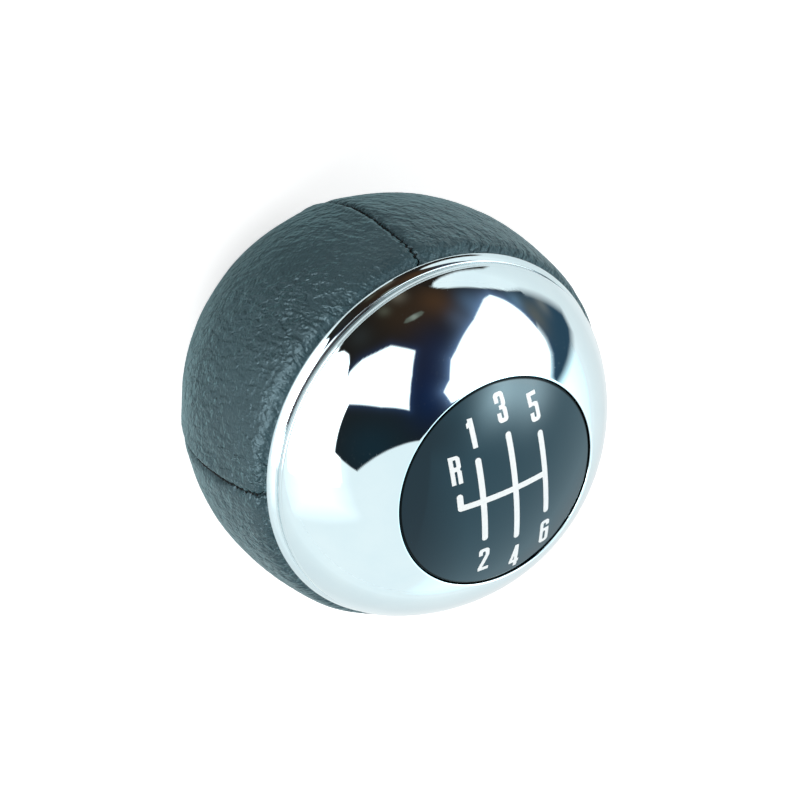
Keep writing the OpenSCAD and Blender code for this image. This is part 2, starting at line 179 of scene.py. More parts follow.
# ---------------------------------------------------------------- materials
class Nodes:
    """Short way to build a node material."""

    def __init__(self, name):
        self.mat = bpy.data.materials.new(name)
        self.mat.use_nodes = True
        self.tree = self.mat.node_tree
        self.shader = self.tree.nodes["Principled BSDF"]

    def add(self, kind, **values):
        node = self.tree.nodes.new(kind)
        for key, value in values.items():
            if hasattr(node, key):
                setattr(node, key, value)
            else:
                node.inputs[key.replace("_", " ")].default_value = value
        return node

    def link(self, a, b):
        self.tree.links.new(a, b)

    def set(self, **values):
        for key, value in values.items():
            self.shader.inputs[key.replace("_", " ")].default_value = value

    def math(self, operation, a, b=0.0):
        node = self.add("ShaderNodeMath", operation=operation)
        for socket, value in zip(node.inputs, (a, b)):
            if isinstance(value, (int, float)):
                socket.default_value = value
            else:
                self.link(value, socket)
        return node.outputs[0]

    def ramp(self, factor, stops):
        node = self.add("ShaderNodeValToRGB")
        while len(node.color_ramp.elements) < len(stops):
            node.color_ramp.elements.new(0.5)
        for element, (position, color) in zip(node.color_ramp.elements, stops):
            element.position = position
            element.color = color if len(color) == 4 else (*color, 1)
        self.link(factor, node.inputs[0])
        return node.outputs[0]

    def bump(self, height, distance, strength=1.0, below=None):
        node = self.add("ShaderNodeBump", Strength=strength, Distance=distance)
        self.link(height, node.inputs["Height"])
        if below is not None:
            self.link(below, node.inputs["Normal"])
        return node.outputs[0]


def noise_of(m, vector, scale, detail=3.0, rough=0.5, distortion=0.0):
    node = m.add("ShaderNodeTexNoise", Scale=scale, Detail=detail, Roughness=rough, Distortion=distortion)
    m.link(vector, node.inputs["Vector"])
    return node.outputs["Fac"]


def leather_material():
    m = Nodes("cover_leather")
    where = m.add("ShaderNodeTexCoord").outputs["Object"]
    uv = m.add("ShaderNodeUVMap", uv_map="flat").outputs["UV"]
    lie = m.add("ShaderNodeMapping", vector_type="TEXTURE")
    lie.inputs["Scale"].default_value = (1.0, 2.3, 1.0)
    lie.inputs["Rotation"].default_value = (0, 0, math.radians(24))
    m.link(uv, lie.inputs["Vector"])
    warp_noise = m.add("ShaderNodeTexNoise", Scale=1100.0, Detail=2.0)
    m.link(where, warp_noise.inputs["Vector"])
    warp = m.add("ShaderNodeVectorMath", operation="MULTIPLY_ADD")
    m.link(warp_noise.outputs["Color"], warp.inputs[0])
    warp.inputs[1].default_value = (0.0005, 0.0005, 0.0005)
    m.link(lie.outputs[0], warp.inputs[2])
    pebbles = m.add("ShaderNodeTexVoronoi", feature="SMOOTH_F1", Scale=2500.0, Smoothness=1.0)
    m.link(where, pebbles.inputs["Vector"])
    pebble_h = m.ramp(pebbles.outputs["Distance"], [(0.0, (1, 1, 1)), (0.9, (0, 0, 0))])
    creases = noise_of(m, warp.outputs[0], 1150.0, 1.2, 0.5, 0.3)
    crease_h = m.ramp(creases, [(0.34, (0, 0, 0)), (0.64, (1, 1, 1))])
    crease_h.node.color_ramp.interpolation = "EASE"
    where_creased = m.ramp(noise_of(m, where, 70.0, 1.0), [(0.42, (0.3, 0.3, 0.3)), (0.58, (1, 1, 1))])
    crease_h = m.math("MULTIPLY", crease_h, where_creased)
    # the leather is gathered most near the cap
    parts = m.add("ShaderNodeSeparateXYZ")
    m.link(where, parts.inputs[0])
    height = m.math("MULTIPLY", m.math("SUBTRACT", parts.outputs[2], 0.021), 100.0)
    gathered = m.ramp(height, [(0.0, (0.5, 0.5, 0.5)), (0.9, (1, 1, 1))])
    crease_h = m.math("MULTIPLY", crease_h, gathered)
    pores = noise_of(m, where, 5200.0, 2.0)
    waves = noise_of(m, where, 210.0, 2.0)
    normal = m.bump(waves, 0.0008, 0.3)
    normal = m.bump(crease_h, 0.00058, 0.7, normal)
    normal = m.bump(pebble_h, 0.00015, 0.7, normal)
    normal = m.bump(pores, 0.00004, 0.5, normal)
    m.link(normal, m.shader.inputs["Normal"])
    tone = noise_of(m, where, 120.0, 2.0)
    color = m.ramp(tone, [(0.3, (0.012, 0.032, 0.04)), (0.7, (0.018, 0.045, 0.055))])
    m.link(color, m.shader.inputs["Base Color"])
    rough = m.math("ADD", m.math("MULTIPLY", pebble_h, -0.08), 0.48)
    m.link(rough, m.shader.inputs["Roughness"])
    m.set(Specular_IOR_Level=0.5, Specular_Tint=(0.66, 0.9, 1.0, 1))
    m.set(Sheen_Weight=0.42, Sheen_Roughness=0.45, Sheen_Tint=(0.5, 0.92, 1.0, 1))
    return m.mat


def thread_material():
    m = Nodes("seam_thread")
    where = m.add("ShaderNodeTexCoord").outputs["Object"]
    twist = m.add("ShaderNodeTexWave", Scale=2600.0, Distortion=1.5)
    m.link(where, twist.inputs["Vector"])
    m.link(m.bump(twist.outputs["Fac"], 0.00004, 0.6), m.shader.inputs["Normal"])
    m.link(m.ramp(noise_of(m, where, 1800.0), [(0.3, (0.002, 0.003, 0.004)), (0.7, (0.006, 0.008, 0.009))]),
           m.shader.inputs["Base Color"])
    m.set(Roughness=0.85, Specular_IOR_Level=0.25)
    return m.mat


# azimuth of the side of the cap, towards the camera, where the fine line's painted shade is full
GROOVE_SHADE_SIDE = math.radians(131)


def chrome_material():
    m = Nodes("cap_chrome")
    where = m.add("ShaderNodeTexCoord").outputs["Object"]
    haze = noise_of(m, where, 160.0, 3.0, 0.6)
    # painted shade, with some dirt, in the fine line round the cap: the line is darkened and made rougher, fully only
    # on the side towards the camera
    parts = m.add("ShaderNodeSeparateXYZ")
    m.link(where, parts.inputs[0])
    x_2, y_2 = (m.math("POWER", parts.outputs[axis], 2.0) for axis in (0, 1))
    radius = m.math("SQRT", m.math("ADD", x_2, y_2))
    off_r = m.math("POWER", m.math("SUBTRACT", radius, (BAND_LINE[0] - 0.1) * MM), 2.0)
    off_z = m.math("POWER", m.math("SUBTRACT", parts.outputs[2], (BAND_LINE[1] - 0.04) * MM), 2.0)
    away = m.math("SQRT", m.math("ADD", off_r, off_z))
    groove_shade_and_dirt = m.ramp(m.math("MULTIPLY", away, 1000.0), [(0.12, (1, 1, 1)), (0.2, (0, 0, 0))])
    along_x = m.math("MULTIPLY", parts.outputs[0], 1000 * math.cos(GROOVE_SHADE_SIDE))
    along_y = m.math("MULTIPLY", parts.outputs[1], 1000 * math.sin(GROOVE_SHADE_SIDE))
    along = m.math("ADD", along_x, along_y)
    # the painted shade is full on the arc towards the camera, and 0.12 of that elsewhere
    camera_side_weight = m.ramp(m.math("SUBTRACT", along, 20.0), [(0.0, (0.12, 0.12, 0.12)), (1.0, (1, 1, 1))])
    groove_shade_and_dirt = m.math("MULTIPLY", groove_shade_and_dirt, camera_side_weight)
    plate = m.ramp(haze, [(0.35, (0.715, 0.885, 0.935)), (0.7, (0.755, 0.915, 0.955))])
    mix = m.add("ShaderNodeMix", data_type="RGBA")
    m.link(groove_shade_and_dirt, mix.inputs["Factor"])
    m.link(plate, mix.inputs["A"])
    mix.inputs["B"].default_value = (0.04, 0.04, 0.045, 1)
    m.link(mix.outputs["Result"], m.shader.inputs["Base Color"])
    grains = m.add("ShaderNodeTexVoronoi", Scale=3000.0)
    m.link(where, grains.inputs["Vector"])
    dust = m.ramp(grains.outputs["Distance"], [(0.06, (1, 1, 1)), (0.16, (0, 0, 0))])
    dusty = m.ramp(noise_of(m, where, 75.0, 2.0), [(0.5, (0, 0, 0)), (0.72, (1, 1, 1))])
    rough = m.math("MULTIPLY", m.math("MULTIPLY", dust, dusty), 0.22)
    rough = m.math("ADD", m.math("ADD", rough, 0.012), m.math("MULTIPLY", groove_shade_and_dirt, 0.4))
    m.link(rough, m.shader.inputs["Roughness"])
    m.link(m.bump(noise_of(m, where, 90.0, 1.0), 0.0006, 0.03), m.shader.inputs["Normal"])
    m.set(Metallic=1.0)
    return m.mat


def disc_material():
    m = Nodes("disc_black")
    where = m.add("ShaderNodeTexCoord").outputs["Object"]
    smear = noise_of(m, where, 150.0, 3.0)
    # the rounded edge is plain black
    flat = m.add("ShaderNodeVectorMath", operation="MULTIPLY")
    flat.inputs[1].default_value = (1, 1, 0)
    m.link(where, flat.inputs[0])
    radius = m.add("ShaderNodeVectorMath", operation="LENGTH")
    m.link(flat.outputs[0], radius.inputs[0])
    edge = m.math("SUBTRACT", m.math("MULTIPLY", radius.outputs["Value"], 1000.0), DISC_R - 1.0)
    face = m.ramp(edge, [(0.66, (1, 1, 1)), (0.74, (0, 0, 0))])
    tint = m.add("ShaderNodeMix", data_type="RGBA", blend_type="MULTIPLY", Factor=1.0)
    m.link(m.ramp(smear, [(0.3, (0.0006, 0.0078, 0.0155)), (0.7, (0.001, 0.0098, 0.0185))]), tint.inputs["A"])
    m.link(face, tint.inputs["B"])
    m.link(tint.outputs["Result"], m.shader.inputs["Base Color"])
    m.link(m.math("ADD", m.math("MULTIPLY", face, 0.38), 0.12), m.shader.inputs["Specular IOR Level"])
    m.link(m.ramp(smear, [(0.4, (0.04, 0.04, 0.04)), (0.8, (0.09, 0.09, 0.09))]), m.shader.inputs["Roughness"])
    m.set(IOR=1.5, Specular_Tint=(0.55, 0.86, 1.0, 1))
    return m.mat


def print_material():
    m = Nodes("print_white")
    where = m.add("ShaderNodeTexCoord").outputs["Object"]
    ink = noise_of(m, where, 2600.0, 3.0)
    m.link(m.ramp(ink, [(0.3, (0.84, 0.89, 0.895)), (0.75, (0.92, 0.95, 0.955))]), m.shader.inputs["Base Color"])
    m.link(m.bump(ink, 0.00001, 0.4), m.shader.inputs["Normal"])
    m.set(Roughness=0.35, Specular_IOR_Level=0.4)
    return m.mat


def plastic_material(name, dark, light, roughness):
    m = Nodes(name)
    where = m.add("ShaderNodeTexCoord").outputs["Object"]
    speck = noise_of(m, where, 4200.0, 2.0)
    m.link(m.ramp(speck, [(0.3, dark), (0.7, light)]), m.shader.inputs["Base Color"])
    m.link(m.bump(speck, 0.00003, 0.5), m.shader.inputs["Normal"])
    m.link(m.math("ADD", m.math("MULTIPLY", speck, 0.15), roughness - 0.07), m.shader.inputs["Roughness"])
    return m.mat


def metal_material(name, color, roughness):
    m = Nodes(name)
    where = m.add("ShaderNodeTexCoord").outputs["Object"]
    brush = noise_of(m, where, 1500.0, 3.0)
    low = tuple(c * 0.85 for c in color)
    m.link(m.ramp(brush, [(0.3, low), (0.7, color)]), m.shader.inputs["Base Color"])
    m.link(m.math("ADD", m.math("MULTIPLY", brush, 0.2), roughness), m.shader.inputs["Roughness"])
    m.set(Metallic=1.0)
    return m.mat


materials = {
    "cover_leather": leather_material(),
    "seam_thread": thread_material(),
    "cap_chrome": chrome_material(),
    "disc_black": disc_material(),
    "print_white": print_material(),
    "adhesive_pad": plastic_material("adhesive_pad", (0.42, 0.42, 0.4), (0.5, 0.5, 0.48), 0.6),
    "shell_plastic": plastic_material("shell_plastic", (0.004, 0.004, 0.005), (0.007, 0.007, 0.008), 0.5),
    "collar_plastic": plastic_material("collar_plastic", (0.004, 0.0045, 0.005), (0.008, 0.009, 0.0095), 0.42),
    "bush_nylon": plastic_material("bush_nylon", (0.58, 0.56, 0.48), (0.66, 0.64, 0.56), 0.4),
    "stop_rubber": plastic_material("stop_rubber", (0.003, 0.003, 0.003), (0.006, 0.006, 0.006), 0.8),
    "screw_zinc": metal_material("screw_zinc", (0.6, 0.61, 0.62), 0.25),
    "spring_steel": metal_material("spring_steel", (0.42, 0.42, 0.43), 0.2),
}
slot_of = {s["node"]: s["material_slot"] for s in frame["record"]["subparts"]}
for node_name, cad in frame["nodes"].items():
    cad.data.materials.clear()
    cad.data.materials.append(materials[slot_of[node_name]])


def piece(obj, slot, *nodes):
    """Makes an object a piece that rides on the knob and stands for these CAD nodes."""
    obj.data.materials.clear()
    obj.data.materials.append(materials[slot])
    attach(obj, "root")
    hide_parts(*nodes)


# ---------------------------------------------------------------- cap
def cap_profile():
    """The cap's section: disc recess, dome, fine line, wall, dark line, band and the hollow inside with its post."""
    out = [disc_c + [0, floor_r]]
    edge_slope = math.degrees(math.asin(recess_r / floor_r))
    out += arc(disc_c, floor_r, 90, 90 - edge_slope, 24)[1:]
    dome_start = angle_of(lip_c - dome_c)
    out += arc(lip_c, LIP_R, 180, dome_start, 10)
    out += arc(dome_c, dome_r, dome_start, angle_of(dome_edge - dome_c), 110)[1:]
    # a fine line, then the wall under the dome, the dark line, and the band that presses on the leather
    out += [dome_edge + [-EDGE_LINE, -EDGE_LINE], dome_edge + [0.01, -2 * EDGE_LINE]]
    band_c = rim - BAND_R * unit(BAND_FROM)
    band_top = band_c + BAND_R * unit(BAND_TO)
    wall_foot = line_c + BAND_LINE_R * unit(155)
    wall_top = out[-1]
    for t in np.linspace(0, 1, 9)[1:]:
        out.append(wall_top + (wall_foot - wall_top) * t + np.array([0.05 * math.sin(math.pi * t), 0]))
    out += arc(line_c, BAND_LINE_R, 155, angle_of(band_top - line_c) % 360, 12)[1:]
    out += arc(band_c, BAND_R, BAND_TO, BAND_FROM, 16)[1:]
    out += arc(rim - TURN_IN_R * unit(BAND_FROM), TURN_IN_R, BAND_FROM, -60, 8)[1:]
    out += [np.array([rim[0] - 0.3, cap_foot_z])]
    out += [np.array([top_hem_r, cap_foot_z])]
    inner_r = dome_r - CAP_T
    hollow_z = dome_c[1] + math.sqrt(inner_r**2 - top_hem_r**2)
    web_r = floor_r - WEB_T
    out += [np.array([top_hem_r, hollow_z])]
    corner = meet(dome_c, inner_r, disc_c, web_r)
    if corner[0] < 0:
        corner = meet(disc_c, web_r, dome_c, inner_r)
    out += arc(dome_c, inner_r, angle_of(out[-1] - dome_c), angle_of(corner - dome_c), 14)[1:]
    post_foot = hem_z - LEATHER_T / 2 + POST_UP

    def post_side(r):
        return [np.array([r, disc_c[1] + math.sqrt(web_r**2 - r**2)]), np.array([r, post_foot])]

    out += post_side(POST_R) + post_side(POST_R - POST_T)[::-1]
    out += [disc_c + [0, web_r]]
    return out


cap = turned("chrome_dome", cap_profile(), 320)
piece(cap, "cap_chrome", "chrome_cap")


# ---------------------------------------------------------------- disc
def disc_profile():
    edge_top = angle_of(disc_edge_c - disc_c)
    out = arc(disc_c, DISC_CURVE_R, 90, edge_top, 60)
    out += arc(disc_edge_c, DISC_EDGE_R, edge_top, 0, 8)[1:]
    under_r = DISC_CURVE_R - DISC_T
    under_edge = math.degrees(math.acos(DISC_R / under_r))
    out += arc(disc_c, under_r, under_edge, 90, 20)
    return out


disc = turned("pattern_plate", disc_profile(), 256)
piece(disc, "disc_black", "pattern_disc")

# ---------------------------------------------------------------- print on the disc
LINE_W = 0.75
GATE_PITCH = 4.28
GATE_X = 1.04
GATE_Y = -0.11
OUTER_HALF = 5.2
MIDDLE_HALF = 6.82
REVERSE_REACH = 7.06
REVERSE_RISE = 1.49
DIGIT_H = 3.46
DIGIT_W = 1.36
DIGIT_GAP = 1.2
PRINT_STEP = 0.06
PRINT_LIFT = 0.012


def box_field(x, y, left, right, low, high, corner=0.0):
    """Distance to a box with rounded corners, negative inside."""
    qx = np.abs(x - (left + right) / 2) - (right - left) / 2 + corner
    qy = np.abs(y - (low + high) / 2) - (high - low) / 2 + corner
    return np.hypot(np.maximum(qx, 0), np.maximum(qy, 0)) + np.minimum(np.maximum(qx, qy), 0) - corner


def bar_field(x, y, p, q, width):
    """Distance to a slanting bar with round ends."""
    px, py, dx, dy = x - p[0], y - p[1], q[0] - p[0], q[1] - p[1]
    t = np.clip((px * dx + py * dy) / (dx * dx + dy * dy), 0, 1)
    return np.hypot(px - t * dx, py - t * dy) - width / 2


def any_of(*fields):
    return np.minimum.reduce(fields)


def less(field, *cuts):
    return np.maximum.reduce([field] + [-c for c in cuts])


def glyph_field(sign, x, y):
    """Narrow heavy figure round the origin, DIGIT_W wide and DIGIT_H high."""
    w, h = DIGIT_W / 2, DIGIT_H / 2
    stem = 0.54 if sign in "135" else 0.5
    bar = 0.48
    bend = 0.46
    in_w = w - stem
    if sign == "1":
        slant = bar_field(x, y, (-0.36, h - 0.8), (0.1, h - 0.4), 0.46)
        flag = np.maximum(slant, box_field(x, y, -0.38, 0.3, h - 1.1, h))
        return any_of(box_field(x, y, -0.13, 0.5, -h, h, 0.03), flag)
    if sign == "2":
        bowl = less(
            box_field(x, y, -w, w, 0.2, h, bend),
            box_field(x, y, -in_w, in_w, -h, h - bar, 0.17),
            box_field(x, y, -w - 1, 0, -h, h / 2 - 0.18),
            box_field(x, y, -w - 1, w + 1, -h, 0.62),
        )
        neck = bar_field(x, y, (w - stem / 2, 0.66), (-w + stem / 2, -h + 0.45), stem)
        neck = np.maximum(neck, box_field(x, y, -w, w, -h, 1.0))
        return any_of(bowl, neck, box_field(x, y, -w, w, -h, -h + bar, 0.03))
    if sign == "3":
        outer = any_of(box_field(x, y, -w, w, -0.1, h, bend), box_field(x, y, -w, w, -h, 0.1, bend))
        upper_hole = box_field(x, y, -in_w, in_w, 0.24, h - bar, 0.12)
        holes = any_of(upper_hole, box_field(x, y, -in_w, in_w, -h + bar, -0.24, 0.12))
        gap = box_field(x, y, -w - 1, -0.06, -0.56, 0.56)
        return any_of(less(outer, holes, gap), box_field(x, y, -0.24, 0.3, -0.24, 0.24, 0.03))
    if sign == "4":
        slope = np.maximum(bar_field(x, y, (0.24, h + 0.1), (-0.46, -0.75), 0.42), box_field(x, y, -w, w, -1.0, h))
        foot = box_field(x, y, -w, w, -1.1, -0.64, 0.03)
        return any_of(box_field(x, y, 0.0, 0.5, -h, h, 0.03), slope, foot)
    if sign == "5":
        bowl = less(
            box_field(x, y, -w, w, -h, 0.52, bend),
            box_field(x, y, -in_w, in_w, -h + bar, 0.06, 0.13),
            box_field(x, y, -w - 1, -0.05, -0.62, 0.12),
        )
        return any_of(bowl, box_field(x, y, -w, -in_w, 0.1, h, 0.03), box_field(x, y, -w, w - 0.06, h - bar, h, 0.03))
    if sign == "6":
        lower_hole = box_field(x, y, -in_w, in_w, -h + bar, 0.02, 0.13)
        holes = any_of(lower_hole, box_field(x, y, -in_w, in_w, 0.46, h - bar, 0.13))
        return less(box_field(x, y, -w, w, -h, h, bend), holes, box_field(x, y, 0.05, w + 1, 0.46, 0.86))
    bowl = any_of(box_field(x, y, -w, w, 0.0, h, 0.46), box_field(x, y, -w, 0, -0.1, h, 0.02))
    stem_and_leg = any_of(box_field(x, y, -w, -0.17, -h, h, 0.02), box_field(x, y, 0.13, w - 0.02, -h, 0.3, 0.03))
    hole = box_field(x, y, -0.17, 0.17, 0.42, h - 0.42, 0.1)
    notch = np.hypot(x - w - 0.04, y - 0.04) - 0.2
    return less(any_of(bowl, stem_and_leg, box_field(x, y, -w, 0.4, -0.12, 0.42)), hole, notch)


def print_field(x, y):
    lines = []
    hook_x = GATE_X - REVERSE_REACH
    for k in (-1, 0, 1):
        gx = GATE_X + k * GATE_PITCH
        half = OUTER_HALF if k else MIDDLE_HALF
        lines.append(bar_field(x, y, (gx, GATE_Y - half), (gx, GATE_Y + half), LINE_W))
        reach = half + LINE_W / 2 + DIGIT_GAP + DIGIT_H / 2
        upper, lower = "135"[k + 1], "246"[k + 1]
        lines.append(glyph_field(upper, x - gx + 0.18, y - GATE_Y - reach))
        lines.append(glyph_field(lower, x - gx + 0.02, y - GATE_Y + reach + 0.06))
    lines.append(bar_field(x, y, (hook_x, GATE_Y), (GATE_X + GATE_PITCH, GATE_Y), LINE_W))
    lines.append(bar_field(x, y, (hook_x, GATE_Y), (hook_x, GATE_Y + REVERSE_RISE), LINE_W))
    lines.append(glyph_field("R", x - hook_x + 0.02, y - GATE_Y - REVERSE_RISE - LINE_W / 2 - 1.3 - DIGIT_H / 2))
    return np.minimum.reduce(lines)


def print_mesh():
    """Fills the print's field cell by cell, with the edges cut at the field's zero."""
    xs = np.arange(-7.6, 7.6, PRINT_STEP)
    ys = np.arange(-12.4, 12.4, PRINT_STEP)
    gx, gy = np.meshgrid(xs, ys, indexing="ij")
    field = print_field(gx, gy)
    points, index, faces = [], {}, []

    def corner(i, j):
        key = (i, j)
        if key not in index:
            index[key] = len(points)
            points.append((xs[i], ys[j]))
        return index[key]

    def cut(a, b):
        key = (a, b) if a < b else (b, a)
        if key not in index:
            (i, j), (k, l) = key
            t = field[i, j] / (field[i, j] - field[k, l])
            index[key] = len(points)
            points.append((xs[i] + t * (xs[k] - xs[i]), ys[j] + t * (ys[l] - ys[j])))
        return index[key]

    inside = field < 0
    any_in = inside[:-1, :-1] | inside[1:, :-1] | inside[:-1, 1:] | inside[1:, 1:]
    for i, j in zip(*np.nonzero(any_in)):
        ring = [(i, j), (i + 1, j), (i + 1, j + 1), (i, j + 1)]
        face = []
        for a, b in zip(ring, ring[1:] + ring[:1]):
            if inside[a]:
                face.append(corner(*a))
            if inside[a] != inside[b]:
                face.append(cut(a, b))
        if len(face) > 2:
            faces.append(face)
    radius = DISC_CURVE_R + PRINT_LIFT
    verts = [(x * MM, y * MM, (disc_c[1] + math.sqrt(radius**2 - x * x - y * y)) * MM) for x, y in points]
    return mesh_object("pattern_print", verts, faces)


pattern = print_mesh()
piece(pattern, "print_white", "shift_gate")

# ---------------------------------------------------------------- leather panels
SEAM_CLEAR = 0.07
SEAM_ROLL = 0.62
SEAM_DEPTH = 0.85
SEAM_REACH = 5.0
STITCH_PITCH = 0.58
SEAM_LEAN = {180: -1.9}
SEAM_LIFT = {"front_left": (0.2, 0.14), "rear_left": (0.0, 0.06)}
SEAM_KEEP = 2.6  # mm beside a seam where the columns of the mesh keep their width
CUT_INSET = 0.36  # how far the hems and the inner face stay back from the seam's middle
HEM_CLEAR = 0.1
SKIN_CLEAR = 0.05


def outline_path(step):
    """Points, outward normals and path lengths along the leather's outline, from foot to rim."""
    spans = (
        (ball_c, BALL_R, foot_angle, 0.0),
        (flank_c, FLANK_R, 0.0, FLANK_ANGLE),
        (shoulder_c, SHOULDER_R, FLANK_ANGLE, SHOULDER_ANGLE),
    )
    points, normals, lengths, done = [], [], [], 0.0
    for c, r, start, end in spans:
        length = math.radians(end - start) * r
        count = max(4, int(round(length / step)))
        for i in range(count):
            a = start + (end - start) * i / count
            points.append(c + r * unit(a))
            normals.append(unit(a))
            lengths.append(done + length * i / count)
        done += length
    points.append(shoulder_c + SHOULDER_R * unit(SHOULDER_ANGLE))
    normals.append(unit(SHOULDER_ANGLE))
    lengths.append(done)
    return np.array(points), np.array(normals), np.array(lengths)


PATH_P, PATH_N, PATH_S = outline_path(0.24)
PATH_L = PATH_S[-1]


def seam_shape(w, s, lift):
    """Height of the leather near a seam, w mm from its middle and s mm up from the foot."""
    w = max(w, 0.0)
    roll = SEAM_ROLL * (1.15 + 0.5 * noise.noise(Vector((s * 1.3, lift * 9.0, 2.0))))
    if w < roll:
        t = 1 - w / roll
        h = -SEAM_DEPTH * (1 - math.sqrt(max(0.0, 1 - t * t)))
    else:
        h = 0.0
    h += 0.09 * math.exp(-(((w - 1.5) / 1.0) ** 2)) + lift * math.exp(-(((w - 0.75) / 0.55) ** 2))
    pull = 0.5 + 0.5 * math.cos(TAU * s / STITCH_PITCH)
    return h - 0.08 * pull * math.exp(-(((w - 0.4) / 0.35) ** 2))


def seam_sway(turn, s):
    """How far a seam strays from its plane, in mm: the stitches pull it to and fro, and one seam leans at the rim."""
    up = min(max((s - PATH_L + 8.0) / 5.0, 0.0), 1.0)
    drift = 0.3 * noise.noise(Vector((s * 0.9, turn, 5)))
    sway = (0.04 + 0.16 * up) * math.sin(TAU * (s + drift) / (1.6 * STITCH_PITCH))
    sway += 0.12 * noise.noise(Vector((s * 0.3, turn, 0)))
    return sway + SEAM_LEAN.get(turn % 360, 0.0) * (s / PATH_L) ** 2


def panel_relief(p, phi, s, w_low, w_high, seed):
    """Folds, tucks and waves of the stretched leather, in mm."""
    shift = Vector((seed * 7.3, seed * 3.1, 0))
    near_rim = math.exp(-(((PATH_L - s) / 2.6) ** 2))
    near_foot = math.exp(-((s / 2.8) ** 2))
    tuck = noise.noise(Vector((phi * 38.0, s * 0.12, 0)) + shift)
    h = 0.03 * tuck * near_rim + 0.12 * noise.noise(Vector((phi * 12.0, s * 0.1, 4)) + shift) * near_foot
    h += 0.09 * noise.noise(Vector(p) * 0.16 + shift)
    # fine folds that run along the ball's girth
    fold = noise.noise(Vector((p[0] * 0.35, p[1] * 0.35, p[2] * 1.15)) + shift)
    h += 0.035 * (1 - abs(fold) * 3.0)
    edge = min(w_low, w_high)
    return h * (1 - math.exp(-((edge / 1.2) ** 2)))


def panel_mesh(name, turn, seed):
    """A quarter of the cover: outer face, both hems and the inner face, open along its two cut edges."""
    spread = []
    fine, coarse = 0.1, 0.34
    girth = BALL_R * math.radians(90)
    w = SEAM_CLEAR
    while w < girth / 2:
        spread.append(w)
        w += fine if w < 1.2 else (0.2 if w < 2.4 else coarse)
    shares = [v / girth for v in spread] + [0.5] + [1 - v / girth for v in reversed(spread)]
    verts, uvs = [], []
    cols = len(shares)
    a0 = math.radians(turn)
    for (r, z), (nr, nz), s in zip(PATH_P, PATH_N, PATH_S):
        arc_len = r * math.radians(90)
        for share in shares:
            if share < 0.5:
                w_low = share * girth
                w_high = arc_len - w_low
            elif share > 0.5:
                w_high = (1 - share) * girth
                w_low = arc_len - w_high
            else:
                w_low = w_high = arc_len / 2
            across = w_low / arc_len if share <= 0.5 else 1 - w_high / arc_len
            # squeeze the wide middle columns where the ring is shorter than the girth
            if abs(share - 0.5) < 0.5 - SEAM_KEEP / girth and arc_len < girth:
                t = (share - SEAM_KEEP / girth) / (1 - 2 * SEAM_KEEP / girth)
                across = (SEAM_KEEP + t * (arc_len - 2 * SEAM_KEEP)) / arc_len
                w_low, w_high = across * arc_len, (1 - across) * arc_len
            phi = a0 + across * math.radians(90)
            for side, w in ((0, w_low), (90, w_high)):
                phi += seam_sway(turn + side, s) * math.exp(-((w / SEAM_REACH) ** 2)) / r
            base = (r * math.cos(phi), r * math.sin(phi), z)
            lift = SEAM_LIFT.get(name.removeprefix("panel_"), (0.0, 0.0))[0 if w_low < w_high else 1]
            h = seam_shape(min(w_low, w_high), s, lift) + panel_relief(base, phi, s, w_low, w_high, seed)
            # the edges sink under the cap and on to the collar
            h -= 0.45 * math.exp(-(((PATH_L - s) / 0.85) ** 2)) + 0.1 * math.exp(-((s / 0.5) ** 2))
            rr, zz = r + nr * h, z + nz * h
            verts.append((rr * math.cos(phi) * MM, rr * math.sin(phi) * MM, zz * MM))
            uvs.append((across * arc_len * MM, s * MM))
    # hems and the inner face, coarser
    inner = [(top_hem_r + HEM_CLEAR, cap_foot_z - 0.08), (top_hem_r + HEM_CLEAR, hem_z + SKIN_CLEAR)]
    shell = LEATHER_T - SKIN_CLEAR
    for k in range(len(PATH_S) - 1, -1, -6):
        (r, z), (nr, nz) = PATH_P[k], PATH_N[k]
        rr, zz = r - nr * shell, z - nz * shell
        if COLLAR_H + LEATHER_T < zz < hem_z + SKIN_CLEAR:
            inner.append((rr, zz))
    foot_hem = FOOT_HEM_R + HEM_CLEAR
    inner += [(foot_hem, COLLAR_H + LEATHER_T - SKIN_CLEAR), (foot_hem, COLLAR_H + SKIN_CLEAR)]
    for r, z in inner:
        arc_len = r * math.radians(90)
        for share in shares:
            across = (CUT_INSET + share * (arc_len - 2 * CUT_INSET)) / arc_len
            phi = a0 + across * math.radians(90)
            verts.append((r * math.cos(phi) * MM, r * math.sin(phi) * MM, z * MM))
            uvs.append((across * arc_len * MM, -z * MM))
    total = len(PATH_S) + len(inner)
    faces = []
    for k in range(total):
        nxt = (k + 1) % total
        for i in range(cols - 1):
            faces.append((k * cols + i, k * cols + i + 1, nxt * cols + i + 1, nxt * cols + i))
    obj = mesh_object(name, verts, faces)
    # the panel laid flat, for the creases of the leather
    mesh = bmesh.new()
    mesh.from_mesh(obj.data)
    layer = mesh.loops.layers.uv.new("flat")
    for face in mesh.faces:
        for loop in face.loops:
            loop[layer].uv = uvs[loop.vert.index]
    mesh.to_mesh(obj.data)
    mesh.free()
    return obj


for seed, name in enumerate(("front_right", "front_left", "rear_left", "rear_right")):
    panel = panel_mesh("panel_" + name, 90 * seed, seed)
    piece(panel, "cover_leather", "leather_" + name)


# ---------------------------------------------------------------- seam stitches
SEAM_END = 1.0  # left free at each end of a seam
LAY_STEPS = 90
LAY_DEPTH = 0.92
LAY_R = 0.2
STITCH_R = 0.1


